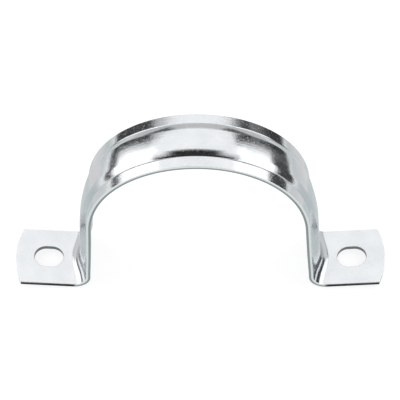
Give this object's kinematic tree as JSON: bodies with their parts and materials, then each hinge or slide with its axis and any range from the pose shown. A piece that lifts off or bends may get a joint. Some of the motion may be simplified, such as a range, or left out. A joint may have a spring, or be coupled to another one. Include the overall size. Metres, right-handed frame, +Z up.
{
  "type": "omega clamp",
  "caption": "Omega clamp of zinc-plated sheet steel: a ribbed arch that holds a pipe, on two feet with screw slots.",
  "frame": {"origin": "midway between the feet, in the plane where both foot bends touch the mounting surface", "axes": "+X from foot to foot, +Y along the pipe, +Z up from the mounting surface"},
  "size_m": [0.0996, 0.0172, 0.0568],
  "materials": {
    "zinc_plate": "bright zinc plate"
  },
  "bodies": {
    "root": {"omega_clamp": "zinc_plate"}
  },
  "joints": []
}
